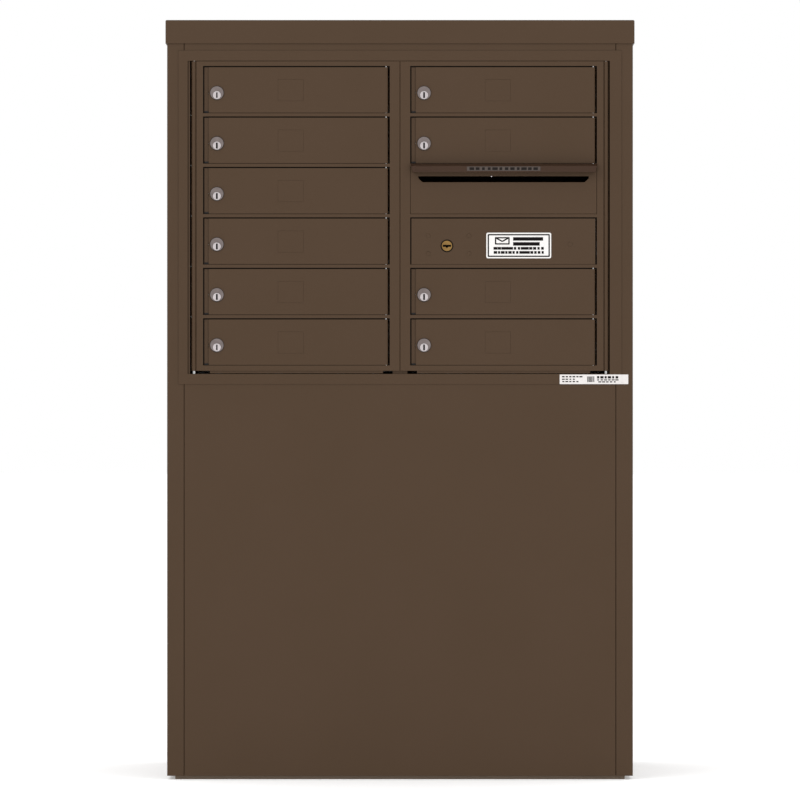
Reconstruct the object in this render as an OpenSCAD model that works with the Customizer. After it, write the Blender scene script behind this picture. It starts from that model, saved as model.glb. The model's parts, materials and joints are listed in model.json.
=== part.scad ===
// Free-standing cluster mailbox: a folded-sheet cabinet that carries a front-loading
// mail module with two master doors, ten tenant doors and an outgoing-mail slot.
// Units are millimetres. +Z is up, the doors face -Y, and the origin is the centre
// of the four anchor holes on the underside of the base.

/* [Cabinet] */
// Width over the two side panels
cab_w = 821; // [815:1:850]
// Depth from the front face to the back face
cab_d = 494; // [480:1:600]
// Height from the floor to the top of the roof cap
cab_h = 1338.5; // [1338:0.5:1360]
// Thickness of the cabinet sheet
sheet = 3; // [2.5:0.5:3]
// Width of the side panels' front and rear flanges
flange_w = 29.5; // [28:0.5:31]
// Height of the roof cap's skirt
cap_h = 41.2; // [38:0.2:44]
// Thickness of the roof cap sheet
cap_t = 2.6; // [2:0.1:3]
// Gap under the panels that shows the base
toe_gap = 6.5; // [5:0.5:9]

/* [Base and anchors] */
// Width of the base pan
base_w = 793; // [785:1:800]
// Depth of the base pan
base_d = 474; // [460:1:476]
// Height of the base pan's upstand
base_h = 60; // [40:5:80]
// Anchor spacing across the cabinet
anchor_x = 660; // [600:10:700]
// Anchor spacing front to back
anchor_y = 330; // [300:10:360]
// Radius of the anchor holes
anchor_r = 7.5; // [6:0.5:9]

/* [Door grid] */
// Distance from one row of doors to the next
row_pitch = 88.9; // [88:0.1:90]
// Height of a door opening
open_h = 83.2; // [82:0.1:84]
// Width of a door opening
open_w = 329; // [328:0.5:330]
// Distance between the centres of the two columns
col_pitch = 365; // [364:0.5:366]
// Height of the top edge of the top row of openings
top_z = 1257.5; // [1256:0.1:1259]
// Compartment depth behind the master doors
comp_d = 381; // [360:1:400]

/* [Tenant doors] */
// Thickness of the door panels
door_t = 3; // [2.5:0.5:3.5]
// Radius of the round hinge bead on a door
bead_r = 3.5; // [3.3:0.1:3.6]
// Radius of the tenant door pins
pin_r = 1.5; // [1.2:0.1:1.6]
// Distance of the lock from the left edge of its opening
lock_x = 24.4; // [23:0.1:26]
// Height of the lock's face centre above the bottom of its opening
lock_z = 35.6; // [34:0.1:37]
// Radius of the lock's face
lock_r = 12.25; // [12:0.05:12.5]
// Distance of the plug below the centre of the lock's face
plug_drop = 3.9; // [3.5:0.1:4]

/* [Master doors] */
// Depth of the frame bars
bar_d = 16; // [15:0.5:16]
// Radius of the hinge knuckle
knuckle_r = 4.4; // [4:0.1:4.5]
// Distance of the master hinge axes from the middle
hinge_x = 363; // [362:0.5:364]
// Gap between the two master doors
seam = 0.4; // [0.4:0.1:1]

/* [Outgoing mail] */
// Width of the mail slot
slot_w = 300; // [280:5:304]
// Height of the mail slot
slot_h = 10.4; // [10:0.2:14]
// Height of the hood
hood_h = 15.6; // [14:0.2:16]
// How far the hood stands out
hood_out = 20; // [16:1:24]
// Travel of the master bolt
bolt_throw = 7.78; // [7.5:0.02:8]

/* [Hidden] */
$fn = 48;
rows = 6;
lip = 4;                                 // overlap of a door stop behind its door
front_y = -cab_d / 2;
trim_t = 1.2;
face_y = front_y - trim_t - 0.6;         // front plane of the master doors
hinge_y = knuckle_r + 1;                 // master hinge axis behind the front plane
pivot_r = 1.6;                           // master hinge pins
run = 0.06;                              // radial clearance of a running fit
back_y = face_y + bar_d + 4 + comp_d;    // inner face of the module's back
panel_top = cab_h - cap_t;
open_half = open_w / 2;
in_x = col_pitch / 2 - open_half;        // inner edge of an opening from the middle
out_x = col_pitch / 2 + open_half;       // outer edge of an opening from the middle
door_top = top_z + 8.3;                  // top and bottom of the master doors
door_low = top_z - (rows - 1) * row_pitch - open_h - 9.4;
trim_top = door_top + 0.8;               // opening in the surround trim
trim_low = door_low - 5.6;
trim_left = -374;
trim_right = 369.6;
mod_t = 2;                               // module sheet
wall_left = -373.2;                      // outer faces of the module's side walls
wall_right = 368.4;
left_fold = 3;                           // the left wall is folded double along its front
inner_left = wall_left + left_fold;
inner_right = wall_right - mod_t;
mod_top = trim_top + 1.2;
shelf_y = face_y + bar_d + 4;
post_w = 26;                             // hollow post behind the meeting stiles
post_t = 2.5;
post_y = face_y + 4.2;
post_d = 60;
free_gap = 2.2;                          // clearances round a tenant door
hinge_gap = 3;
low_gap = 0.8;
pin_x = hinge_gap + bead_r;              // door pin from the right edge of its opening
pin_y = bead_r + 0.1;
barrel_r = 10.8;                         // lock barrel behind the door
nut_r = 15;
plug_r = 5.5;
head_r = 7.1;                            // plug's head, in a pocket of the lock's face
cam_reach = 28;
cam_y = bar_d + 1;
arrow_x = 82.7;                          // master lock
arrow_z = 940.5;
arrow_r = 9.2;
crank = bolt_throw / sqrt(2);            // crank pin from the master lock's axis
bolt_y = bar_d + 1;
bolt_z = arrow_z - 2;
release_y = face_y + 27;                 // release bolt for the left master door
release_z = 1010;

// Column and row of each tenant door, down the left side and then the right.
DOORS = concat([for (r = [0:rows - 1]) [0, r]], [[1, 0], [1, 1], [1, 4], [1, 5]]);
function two(n) = str(n < 10 ? "0" : "", n);
function door_name(i, piece) = str("door_", two(i + 1), "_", piece);
function row_top(r) = top_z - r * row_pitch;
function row_low(r) = row_top(r) - open_h;
function left_edge(c) = c == 0 ? -out_x : in_x;
function right_edge(c) = c == 0 ? -in_x : out_x;

// ---- helpers

// A box given by its lowest and highest corners.
module block(lo, hi) {
    translate(lo) cube(hi - lo);
}

// A straight cylinder along +Y from y0 to y1, on an axis at x, z.
module rod_y(x, z, r, y0, y1) {
    translate([x, y0, z]) rotate([-90, 0, 0]) cylinder(r = r, h = y1 - y0);
}

// A straight vertical cylinder.
module rod_z(x, y, r, z0, z1) {
    translate([x, y, z0]) cylinder(r = r, h = z1 - z0);
}

// A plate in the XZ plane from an outline, thickened along +Y from y0 to y1.
module plate_xz(y0, y1) {
    translate([0, y1, 0]) rotate([90, 0, 0]) linear_extrude(y1 - y0) children();
}

// A bar along X from an outline in Y and Z.
module bar_x(x0, x1) {
    translate([x0, 0, 0]) rotate([90, 0, 90]) linear_extrude(x1 - x0) children();
}

module mirror_if(yes) {
    mirror([yes ? 1 : 0, 0, 0]) children();
}

// ---- cabinet

module base_pan() {
    x = base_w / 2;
    y = base_d / 2;
    color("#6b5c50") difference() {
        block([-x, -y, 0], [x, y, base_h]);
        block([sheet - x, sheet - y, sheet], [x - sheet, y - sheet, base_h + 1]);
        for (sx = [-1, 1], sy = [-1, 1])
            rod_z(sx * anchor_x / 2, sy * anchor_y / 2, anchor_r, -1, sheet + 1);
    }
}

// Right-hand panel: outer sheet, front and rear flanges, and a bottom return to the base.
module side_panel() {
    x = cab_w / 2;
    y = cab_d / 2;
    z = toe_gap;
    difference() {
        block([x - flange_w, -y, z], [x, y, panel_top]);
        block([x - flange_w - 1, sheet - y, z - 1], [x - sheet, y - sheet, panel_top + 1]);
    }
    block([base_w / 2, sheet - y, z], [x - sheet, y - sheet, z + sheet]);
}

module left_side_panel() {
    color("#584636") mirror([1, 0, 0]) side_panel();
}

module right_side_panel() {
    color("#584636") side_panel();
}

// A panel flush with the side flanges, stepped back at both sides to lap behind them.
module lapped_panel(z0, z1) {
    x = cab_w / 2 - flange_w - 1.2;
    lap = 20;
    block([-x, front_y, z0], [x, front_y + sheet, z1]);
    for (s = [-1, 1])
        translate([s * x, 0, 0])
            block([-lap / 2, front_y + sheet, z0], [lap / 2, front_y + 2 * sheet - 0.4, z1]);
}

module lower_front_panel() {
    color("#584636") lapped_panel(toe_gap, trim_low - 7);
}

module header_rail() {
    color("#584636") lapped_panel(trim_top + 6, panel_top);
}

// Flat sheet against the inside of the rear flanges.
module back_panel() {
    x = cab_w / 2 - sheet - 0.5;
    y = cab_d / 2 - sheet;
    color("#584636") block([-x, y - sheet, toe_gap + sheet], [x, y, panel_top]);
}

module roof_cap() {
    x = cab_w / 2 + 0.2 + cap_t;
    y = cab_d / 2 + 0.2 + cap_t;
    color("#584636") difference() {
        block([-x, -y, cab_h - cap_h], [x, y, cab_h]);
        block([cap_t - x, cap_t - y, cab_h - cap_h - 1], [x - cap_t, y - cap_t, cab_h - cap_t]);
    }
}

module surround_trim() {
    x = 390.5;
    y0 = front_y - trim_t;
    color("#584636") {
        block([-x, y0, trim_top], [x, front_y, trim_top + 18.2]);
        block([-x, y0, trim_low - 18.2], [x, front_y, trim_low]);
        block([-x, y0, trim_low], [trim_left, front_y, trim_top]);
        block([trim_right, y0, trim_low], [x, front_y, trim_top]);
    }
}

// Angles on the side panels that carry the module.
module module_support_rails() {
    x = cab_w / 2 - sheet;
    z = trim_low - mod_t;
    y = 200;
    color("silver") for (s = [0, 1])
        mirror([s, 0, 0]) {
            block([x - 55, -y, z - sheet], [x, y, z]);
            block([x - sheet, -y, z - 40], [x, y, z - sheet]);
        }
}

// ---- mail module, fixed parts

module housing_shell() {
    y0 = front_y + 0.2;
    color("silver") {
        for (z = [trim_low - mod_t, mod_top])
            difference() {
                block([wall_left, y0, z], [wall_right, back_y, z + mod_t]);
                for (s = [-1, 1])
                    rod_z(s * hinge_x, face_y + hinge_y, pivot_r + 0.02, z - 1, z + mod_t + 1);
            }
        block([wall_left, face_y + 3, trim_low], [inner_left, back_y, mod_top]);
        block([inner_right, face_y + 11, trim_low], [wall_right, back_y, mod_top]);
    }
}

module housing_back() {
    color("silver")
        block([wall_left, back_y, trim_low - mod_t], [wall_right, back_y + mod_t, mod_top + mod_t]);
}

// Hollow front post with a window for each bolt, and the sheet behind it.
module centre_divider() {
    x = post_w / 2;
    color("silver") difference() {
        union() {
            block([-x, post_y, trim_low], [x, post_y + post_d, mod_top]);
            block([-1, post_y + post_d, trim_low], [1, back_y, mod_top]);
        }
        block([post_t - x, post_y + post_t, trim_low - 1],
              [x - post_t, post_y + post_d - post_t, mod_top + 1]);
        block([x - post_t - 1, face_y + bolt_y - 1.5, bolt_z - 10], [x + 1, face_y + bolt_y + 6, bolt_z + 10]);
        translate([0, 0, release_z])
            rotate([0, 90, 0]) translate([0, release_y, -x - 1]) cylinder(r = 4 + run, h = post_w + 2);
    }
}

module shelf(c, z) {
    x0 = c == 0 ? inner_left : 1;
    x1 = c == 0 ? -1 : inner_right;
    difference() {
        block([x0, shelf_y, z - 0.8], [x1, back_y, z + 0.8]);
        block([-post_w / 2, shelf_y - 1, z - 2], [post_w / 2, post_y + post_d, z + 2]);
    }
}

module compartment_shelves() {
    drop = (row_pitch - open_h) / 2;
    color("silver") for (c = [0, 1], r = [0:rows - 2])
        if (!(c == 1 && r == 2)) shelf(c, row_low(r) - drop);
}

// Pins in the module's top and floor. The lower pins have a collar that carries the door.
module master_pivot_pins() {
    y = face_y + hinge_y;
    color("gray") for (s = [-1, 1]) {
        rod_z(s * hinge_x, y, pivot_r, door_top - 25, mod_top + mod_t + 2);
        rod_z(s * hinge_x, y, pivot_r, trim_low - mod_t - 2, door_low + 25);
        rod_z(s * hinge_x, y, 3, trim_low, door_low - 0.1);
    }
}

// Thumb-operated bolt through the post. It slides to -X to hold the left master door.
module release_bolt() {
    color("lightgray") {
        translate([0, release_y, release_z]) rotate([0, 90, 0]) {
            translate([0, 0, -post_w / 2 - 0.3]) cylinder(r = 4, h = post_w + 13);
            translate([0, 0, post_w / 2 + 12]) cylinder(r = 8, h = 5);
        }
    }
}

// ---- master doors

// Outline of the outer stile in plan for the left door, with its round hinge knuckle.
module hinge_stile_outline(stop) {
    difference() {
        union() {
            translate([-hinge_x, hinge_y]) circle(r = knuckle_r);
            translate([-hinge_x, hinge_y - 2.4]) square([6, 4.8]);
            translate([-hinge_x + knuckle_r + 0.2, 0]) square([hinge_x - knuckle_r - 0.2 - out_x, bar_d]);
            if (stop) translate([-out_x - 1, 9]) square([lip + 1, 2]);
        }
        translate([-hinge_x, hinge_y]) circle(r = pivot_r + run);
    }
}

// Outline of the meeting stile in plan for the left door, with a rounded front edge.
module meeting_stile_outline(stop) {
    r = 1.5;
    e = seam / 2;
    translate([-in_x, 0]) square([in_x - e - r, 3]);
    translate([-e - r, r]) circle(r = r);
    translate([-e - r, r]) square([r, 3 - r]);
    translate([-in_x, 0]) square([3, bar_d]);
    if (stop) translate([-in_x - lip, 9]) square([lip + 1, 2]);
}

// Cross bar between two openings, with a stop behind each, bored for the door pins.
module rail(z0, z1, stop_low, stop_high, bored) {
    difference() {
        bar_x(-out_x, -in_x) {
            translate([0, z0]) square([bar_d, z1 - z0]);
            translate([9, z0 - (stop_low ? lip : 0)])
                square([2, z1 - z0 + (stop_low ? lip : 0) + (stop_high ? lip : 0)]);
        }
        if (bored) rod_z(bored, pin_y, pin_r + 0.02, z0 - 1, z1 + 1);
    }
}

// Nine bars. The right-hand frame is the left-hand one mirrored, with its pins moved.
module master_frame(right) {
    pin = right ? -out_x + pin_x : -in_x - pin_x;
    translate([0, face_y, 0]) mirror_if(right) {
        translate([0, 0, door_low]) linear_extrude(door_top - door_low) hinge_stile_outline(!right);
        translate([0, 0, door_low]) linear_extrude(door_top - door_low) meeting_stile_outline(right);
        rail(row_top(0), door_top, true, false, pin);
        rail(door_low, row_low(rows - 1), false, true, pin);
        for (r = [0:rows - 2])
            rail(row_top(r + 1), row_low(r), true, true, (right && r == 2) ? 0 : pin);
    }
}

// Low lip that closes most of the gap under a master door.
module drip_lip(x0, x1) {
    block([x0, face_y + 2, door_low - 4.4], [x1, face_y + 4, door_low]);
}

module left_master_frame() {
    color("#584636") {
        master_frame(false);
        drip_lip(-out_x + 12, -in_x - 12);
    }
}

module right_master_frame() {
    color("#584636") {
        master_frame(true);
        drip_lip(in_x + 12, out_x - 12);
    }
}

module door_pins(c) {
    grip = (row_pitch - open_h) / 2 - 0.5;
    color("gray") for (d = DOORS)
        if (d[0] == c)
            rod_z(right_edge(c) - pin_x, face_y + pin_y, pin_r, row_low(d[1]) - grip, row_top(d[1]) + grip);
}

module left_door_pins() {
    door_pins(0);
}

module right_door_pins() {
    door_pins(1);
}

// Plate on the left meeting stile that the release bolt enters.
module left_latch_keeper() {
    color("lightgray") difference() {
        block([-in_x, face_y + bar_d, release_z - 15], [-in_x + 3, face_y + 36, release_z + 15]);
        block([-in_x - 1, release_y - 5.5, release_z - 6], [-in_x + 4, release_y + 5.5, release_z + 6]);
    }
}

// ---- outgoing mail and master lock

module slot_panel() {
    x0 = in_x + 0.6;
    x1 = out_x - 0.6;
    z0 = row_low(2) + 0.5;
    z1 = row_top(2) - 0.5;
    sx = col_pitch / 2 - slot_w / 2;
    sz = row_low(2) + 56.3;
    c = 7;
    color("#584636") translate([0, face_y, 0]) difference() {
        union() {
            block([x0, 0, z0], [x1, door_t, z1]);
            block([x0, door_t, z0], [x1, 9, z0 + 2]);
            block([x0, door_t, z1 - 1.6], [x1, 9, z1]);
        }
        plate_xz(-1, 10) polygon([[sx + c, sz], [sx + slot_w - c, sz], [sx + slot_w, sz + c],
            [sx + slot_w, sz + slot_h], [sx, sz + slot_h], [sx, sz + c]]);
    }
}

// Space under the hood's outline: sloped top, upright front and tapered ends, shrunk by t.
module hood_space(t) {
    top = row_low(1) - 0.3;
    low = top - hood_h;
    y0 = -hood_out + t;
    intersection() {
        bar_x(0, out_x + 20)
            polygon([[t > 0 ? 1 : 0, top - t], [y0, top - 4.5 - t], [y0, low - t], [t > 0 ? 1 : 0, low - t]]);
        plate_xz(-hood_out - 1, 5)
            polygon([[in_x + t, top + 1], [out_x + 1.5 - t, top + 1],
                [out_x - 4 - t, low - t - 1], [in_x + 5 + t, low - t - 1]]);
    }
}

module outgoing_hood() {
    color("#584636") translate([0, face_y, 0]) difference() {
        hood_space(0);
        hood_space(2);
    }
}

// Sloped guard behind the slot with a toothed lower edge.
module slot_baffle() {
    x0 = 30;
    x1 = 335;
    z = row_top(2);
    teeth = 20;
    step = (x1 - x0) / teeth;
    color("silver") translate([0, face_y, 0]) difference() {
        bar_x(x0, x1)
            polygon([[bar_d, z + 6], [bar_d, z - 7], [bar_d + 40, z - 30], [bar_d + 40.8, z - 28.6],
                [bar_d + 1.6, z - 6], [bar_d + 1.6, z + 6]]);
        for (i = [0:teeth - 1])
            translate([x0 + i * step, bar_d + 30, z - 40])
                linear_extrude(30) polygon([[1, 12], [step / 2, 3], [step - 1, 12]]);
    }
}

SCREWS = [[49.8, 958.3], [121.7, 958.3], [49.8, 926.9], [121.7, 926.9], [299.6, 943.2]];

module master_lock_panel() {
    color("#584636") translate([0, face_y, 0]) difference() {
        union() {
            block([in_x + free_gap, 0, row_low(3) + 0.5], [out_x - hinge_gap, door_t, row_top(3) - free_gap]);
            for (z = [row_low(3) + 0.5, row_top(3) - free_gap - 2])
                block([in_x + lip, door_t, z], [out_x - hinge_gap, 9, z + 2]);
        }
        rod_y(arrow_x, arrow_z, arrow_r + 0.5, -1, door_t + 1);
        for (s = SCREWS) rod_y(s[0], s[1], 2.2, -1, door_t + 1);
    }
}

// Round-headed screws with a nut on each.
module lock_panel_screws() {
    color("#584636") translate([0, face_y, 0]) for (s = SCREWS) {
        rod_y(s[0], s[1], 3.8, -0.9, 0);
        rod_y(s[0], s[1], 2.1, 0, 8);
        translate([s[0], s[0] > 200 ? door_t : 6, s[1]])
            rotate([-90, 0, 0]) cylinder(r = 3.9, h = 2, $fn = 6);
    }
}

module mail_plate() {
    color("white") translate([209.2, face_y, 941.1]) plate_xz(-1, 0)
        hull() for (x = [-1, 1], z = [-1, 1]) translate([x * 54.2, z * 19.6]) circle(r = 3, $fn = 24);
}

// Flanged case with a bore for the plug and a cross channel for the bolt.
module arrow_lock_case() {
    color("goldenrod") translate([0, face_y, 0]) difference() {
        union() {
            block([43.8, door_t, arrow_z - 20], [127.7, 6, arrow_z + 24.4]);
            block([60, 6, arrow_z - 16], [112, 26, arrow_z + 16]);
        }
        rod_y(arrow_x, arrow_z, arrow_r, 2, bolt_y);
        block([59, bolt_y - 0.2, bolt_z - 8.2], [113, bolt_y + 4.7, bolt_z + 8.2]);
        for (s = SCREWS) rod_y(s[0], s[1], 2.2, 2, 7);
    }
}

// Keyed plug with a crank pin that drives the bolt.
module arrow_lock_plug() {
    a = 45;
    color("goldenrod") translate([0, face_y, 0]) {
        difference() {
            rod_y(arrow_x, arrow_z, arrow_r - run, -0.8, bolt_y - 0.5);
            block([arrow_x - 6.5, -2, arrow_z - 1], [arrow_x + 6.5, 3.5, arrow_z + 1.1]);
            translate([arrow_x, 0, arrow_z]) plate_xz(-2, 3.5) polygon([[-3, 0], [3, 0], [0, -3.2]]);
        }
        rod_y(arrow_x + crank * sin(a), arrow_z - crank * cos(a), 2, bolt_y - 1, bolt_y + 4);
    }
}

module arrow_bolt() {
    x = arrow_x + crank * sin(45);
    color("silver") translate([0, face_y, 0]) difference() {
        block([15.2, bolt_y, bolt_z - 8], [100, bolt_y + 4.5, bolt_z + 8]);
        block([x - 2.3, bolt_y - 1, bolt_z - 6.5], [x + 2.3, bolt_y + 6, bolt_z + 2]);
    }
}

// ---- tenant doors

module door_panel(c, r) {
    x0 = left_edge(c);
    x1 = right_edge(c);
    z0 = row_low(r) + low_gap;
    z1 = row_top(r) - free_gap;
    step = 10;
    color("#584636") translate([0, face_y, 0]) difference() {
        union() {
            translate([0, 0, z0]) linear_extrude(z1 - z0) difference() {
                union() {
                    translate([x0 + step, 0]) square([open_w - step - pin_x, door_t]);
                    translate([x0 + free_gap, door_t]) square([step + 3 - free_gap, 2]);
                    translate([x1 - pin_x, pin_y]) circle(r = bead_r);
                }
                translate([x1 - pin_x, pin_y]) circle(r = pin_r + run);
            }
            for (z = [z0, z1 - 2]) block([x0 + step + 3, door_t, z], [x1 - 14, 8, z + 2]);
        }
        rod_y(x0 + lock_x, row_low(r) + lock_z, barrel_r + 0.1, -1, 12);
        rod_y(x0 + lock_x, row_low(r) + lock_z, nut_r + 0.2, door_t, 12);
        block([x0 + 132, -1, row_low(r) + 21.5], [x0 + 177, 0.5, row_low(r) + 59.5]);
    }
}

// Barrel with a bevelled face and an off-centre plug pocket, and its nut behind the door.
module lock_case(c, r) {
    x = left_edge(c) + lock_x;
    z = row_low(r) + lock_z;
    color("lightgray") translate([x, face_y, z]) {
        difference() {
            rotate([-90, 0, 0]) {
                translate([0, 0, -2.2]) cylinder(r1 = lock_r - 0.8, r2 = lock_r, h = 0.8);
                translate([0, 0, -1.4]) cylinder(r = lock_r, h = 1.4);
                cylinder(r = barrel_r, h = bar_d + 0.6);
            }
            rod_y(0, -plug_drop, head_r + 0.15, -3, 0);
            rod_y(0, -plug_drop, plug_r + run, -3, bar_d + 2);
        }
        difference() {
            translate([0, door_t, 0]) rotate([-90, 0, 0]) cylinder(r = nut_r, h = 3, $fn = 6);
            rod_y(0, 0, barrel_r + 0.02, 2, 7);
        }
    }
}

// Keyed plug with its cam and cam screw. The cam hangs down when unlocked.
module lock_plug(c, r) {
    x = left_edge(c) + lock_x;
    z = row_low(r) + lock_z - plug_drop;
    color("white") translate([x, face_y, z]) {
        difference() {
            union() {
                rod_y(0, 0, head_r, -3, -0.15);
                rod_y(0, 0, plug_r, -1, cam_y + 1);
            }
            block([-1.15, -4, -4.8], [1.15, 1, 4.8]);
        }
        difference() {
            plate_xz(cam_y, cam_y + 2) hull() {
                circle(r = 7, $fn = 32);
                translate([0, 6 - cam_reach]) circle(r = 6, $fn = 32);
            }
            rod_y(0, 0, 3, cam_y - 1, cam_y + 3);
        }
        rod_y(0, 0, 3, cam_y, cam_y + 2);
        translate([0, cam_y + 2, 0]) rotate([-90, 0, 0]) cylinder(r = 5, h = 2, $fn = 6);
    }
}

// ---- nodes

base_pan();
left_side_panel();
right_side_panel();
back_panel();
lower_front_panel();
header_rail();
roof_cap();
surround_trim();
module_support_rails();
housing_shell();
housing_back();
centre_divider();
compartment_shelves();
master_pivot_pins();
release_bolt();
left_master_frame();
left_door_pins();
left_latch_keeper();
right_master_frame();
right_door_pins();
slot_panel();
outgoing_hood();
slot_baffle();
master_lock_panel();
lock_panel_screws();
mail_plate();
arrow_lock_case();
arrow_lock_plug();
arrow_bolt();
for (i = [0:len(DOORS) - 1]) {
    door_panel(DOORS[i][0], DOORS[i][1]);
    lock_case(DOORS[i][0], DOORS[i][1]);
    lock_plug(DOORS[i][0], DOORS[i][1]);
}
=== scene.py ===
import json
import math

import bmesh
import bpy
from mathutils import Matrix, Vector

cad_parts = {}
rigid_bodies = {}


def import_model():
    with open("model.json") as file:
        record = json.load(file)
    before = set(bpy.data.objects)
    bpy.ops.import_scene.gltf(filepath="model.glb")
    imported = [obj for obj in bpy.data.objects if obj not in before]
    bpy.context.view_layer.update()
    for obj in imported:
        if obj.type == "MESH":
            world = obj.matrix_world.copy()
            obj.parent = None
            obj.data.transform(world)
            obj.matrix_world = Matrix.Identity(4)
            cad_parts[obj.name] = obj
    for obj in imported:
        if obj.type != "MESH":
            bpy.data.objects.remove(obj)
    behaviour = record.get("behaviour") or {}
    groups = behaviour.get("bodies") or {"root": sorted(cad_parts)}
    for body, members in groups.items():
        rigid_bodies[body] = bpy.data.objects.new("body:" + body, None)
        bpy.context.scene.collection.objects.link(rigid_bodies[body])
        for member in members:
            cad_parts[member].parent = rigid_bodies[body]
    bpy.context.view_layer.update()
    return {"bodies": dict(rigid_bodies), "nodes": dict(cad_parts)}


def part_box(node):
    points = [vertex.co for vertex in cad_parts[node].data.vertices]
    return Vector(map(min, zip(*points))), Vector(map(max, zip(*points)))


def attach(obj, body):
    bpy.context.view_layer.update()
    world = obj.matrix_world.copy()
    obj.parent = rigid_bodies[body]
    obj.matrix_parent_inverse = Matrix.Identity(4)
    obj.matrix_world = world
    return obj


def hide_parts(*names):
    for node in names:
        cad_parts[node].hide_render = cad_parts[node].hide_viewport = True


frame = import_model()
print("frame loaded:", len(frame["nodes"]), "nodes")

doors = sorted(b for b in frame["bodies"] if b.startswith("door_") and not b.endswith("_plug"))


# small helpers

def mm(value):
    return value / 1000


def place(x, y, z):
    return Vector((x, y, z)) / 1000


def linear(hexColour):
    parts = [int(hexColour[i:i + 2], 16) / 255 for i in (1, 3, 5)]
    return [p / 12.92 if p <= 0.04045 else ((p + 0.055) / 1.055) ** 2.4 for p in parts] + [1]


def boxMm(node):
    low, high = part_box(node)
    return low * 1000, high * 1000


def addNode(tree, kind, values=None, links=None, **settings):
    node = tree.nodes.new(kind)
    for name, value in settings.items():
        setattr(node, name, value)
    for socket, value in (values or {}).items():
        node.inputs[socket].default_value = value
    for socket, source in (links or {}).items():
        tree.links.new(source, node.inputs[socket])
    return node


# materials: each starts with the shader and object coordinates

def startMaterial(name, **shaderValues):
    material = bpy.data.materials.new(name)
    material.use_nodes = True
    tree = material.node_tree
    tree.nodes.clear()
    shader = addNode(tree, "ShaderNodeBsdfPrincipled", shaderValues)
    addNode(tree, "ShaderNodeOutputMaterial", links={"Surface": shader.outputs[0]})
    where = addNode(tree, "ShaderNodeTexCoord").outputs["Object"]
    return material, tree, shader, where


def noiseMm(tree, where, size, detail=2.0, rough=0.5):
    return addNode(tree, "ShaderNodeTexNoise",
                   {"Scale": 1000 / size, "Detail": detail, "Roughness": rough}, {"Vector": where})


def blendColours(tree, factor, first, second):
    mix = addNode(tree, "ShaderNodeMix", links={0: factor}, data_type="RGBA")
    mix.inputs[6].default_value = linear(first)
    mix.inputs[7].default_value = linear(second)
    return mix.outputs[2]


def spread(tree, factor, low, high, fromLow=0.3, fromHigh=0.7):
    return addNode(tree, "ShaderNodeMapRange",
                   {"From Min": fromLow, "From Max": fromHigh, "To Min": low, "To Max": high},
                   {"Value": factor}).outputs[0]


def bump(tree, shader, height, depth, strength=1.0):
    raised = addNode(tree, "ShaderNodeBump", {"Strength": strength, "Distance": mm(depth)},
                     {"Height": height})
    tree.links.new(raised.outputs[0], shader.inputs["Normal"])


# polyester powder coat on aluminium: a satin skin with fine orange peel and tiny flecks
powder = {
    "peel": 2.6,       # real peel is near 1 mm, drawn coarser so that it shows
    "peelDepth": 0.03,
    "fleck": 0.7,
    "roughLow": 0.46,
    "roughHigh": 0.56,
}


def powderCoat(name, base, fleck):
    material, tree, shader, where = startMaterial(name, **{"Specular IOR Level": 0.16, "IOR": 1.5})
    peel = noiseMm(tree, where, powder["peel"], 3)
    flecks = noiseMm(tree, where, powder["fleck"], 1)
    cloud = noiseMm(tree, where, 160, 2)
    share = addNode(tree, "ShaderNodeMath",
                    links={0: spread(tree, flecks.outputs[0], 0, 0.8, 0.52, 0.8),
                           1: spread(tree, cloud.outputs[0], 0, 0.2)}, operation="ADD", use_clamp=True)
    tree.links.new(blendColours(tree, share.outputs[0], base, fleck), shader.inputs["Base Color"])
    tree.links.new(spread(tree, peel.outputs[0], powder["roughLow"], powder["roughHigh"]),
                   shader.inputs["Roughness"])
    bump(tree, shader, peel.outputs[0], powder["peelDepth"], 0.6)
    return material


# hot-dip galvanised sheet: flat crystals of differing grey, faint rolling marks
def galvanisedSheet(name):
    material, tree, shader, where = startMaterial(name, Metallic=1.0)
    spangle = addNode(tree, "ShaderNodeTexVoronoi", {"Scale": 1000 / 14, "Randomness": 1.0},
                      {"Vector": where})
    grey = addNode(tree, "ShaderNodeSeparateColor", links={0: spangle.outputs["Color"]})
    rolled = noiseMm(tree, addNode(tree, "ShaderNodeMapping", {"Scale": (1, 0.04, 1)},
                                   {"Vector": where}).outputs[0], 3, 3)
    tree.links.new(blendColours(tree, grey.outputs[0], "#9a9c9d", "#b4b6b6"), shader.inputs["Base Color"])
    tree.links.new(spread(tree, grey.outputs[1], 0.34, 0.5, 0, 1), shader.inputs["Roughness"])
    bump(tree, shader, rolled.outputs[0], 0.02, 0.5)
    return material


# a metal whose surface shows machining or casting marks
def workedMetal(name, dark, light, roughLow, roughHigh, grain, stretch=(1, 1, 1), depth=0.02):
    material, tree, shader, where = startMaterial(name, Metallic=1.0)
    along = addNode(tree, "ShaderNodeMapping", {"Scale": stretch}, {"Vector": where}).outputs[0]
    marks = noiseMm(tree, along, grain, 4, 0.6)
    stains = noiseMm(tree, where, 9, 2)
    tree.links.new(blendColours(tree, stains.outputs[0], dark, light), shader.inputs["Base Color"])
    tree.links.new(spread(tree, marks.outputs[0], roughLow, roughHigh), shader.inputs["Roughness"])
    bump(tree, shader, marks.outputs[0], depth, 0.5)
    return material


# matt vinyl print face: off-white with a soft tooth
def printedVinyl(name, base, worn, rough, gloss=0.4):
    material, tree, shader, where = startMaterial(name, **{"Specular IOR Level": gloss})
    tooth = noiseMm(tree, where, 0.8, 2)
    handled = noiseMm(tree, where, 25, 3)
    tree.links.new(blendColours(tree, spread(tree, handled.outputs[0], 0, 0.5), base, worn),
                   shader.inputs["Base Color"])
    tree.links.new(spread(tree, tooth.outputs[0], rough - 0.05, rough + 0.05), shader.inputs["Roughness"])
    bump(tree, shader, tooth.outputs[0], 0.01, 0.4)
    return material


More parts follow.
